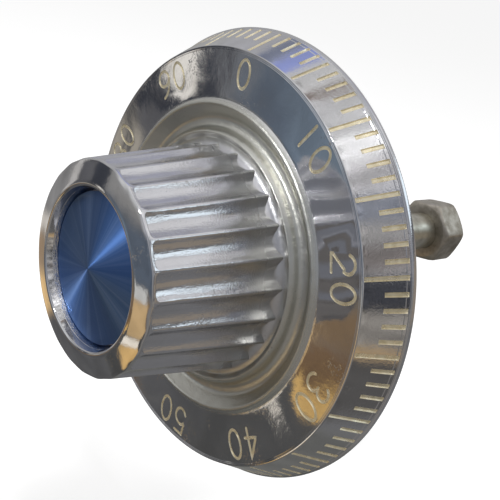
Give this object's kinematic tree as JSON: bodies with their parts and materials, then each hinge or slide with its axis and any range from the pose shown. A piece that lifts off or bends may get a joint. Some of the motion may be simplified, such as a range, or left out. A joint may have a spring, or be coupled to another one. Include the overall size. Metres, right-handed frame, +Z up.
{
  "type": "safe combination dial",
  "caption": "Round combination dial for a safe: a bevelled, graduated dial plate with a tapered fluted knob in front, a recessed inlay, and a threaded spindle with a hex nut behind.",
  "frame": {"origin": "on the dial's axis, in the plane of the dial's back edge", "axes": "+Y along the spindle, away from the knob; the dial's front faces -Y; +Z up, through the zero mark; +X to the right as seen from the front"},
  "size_m": [0.081, 0.0944, 0.081],
  "materials": {
    "plated_casting": "polished chrome plate on a zinc casting, worn and pitted, with cream filled graduation",
    "blue_inlay": "turned and blue anodised",
    "dull_steel": "dull zinc plated steel",
    "pin_steel": "dark spring steel",
    "nut_steel": "dull zinc plated steel"
  },
  "bodies": {
    "root": {"dial_casting": "plated_casting", "knob_inlay": "blue_inlay", "spindle": "dull_steel", "hub_pin": "pin_steel", "spindle_nut": "nut_steel"}
  },
  "joints": []
}
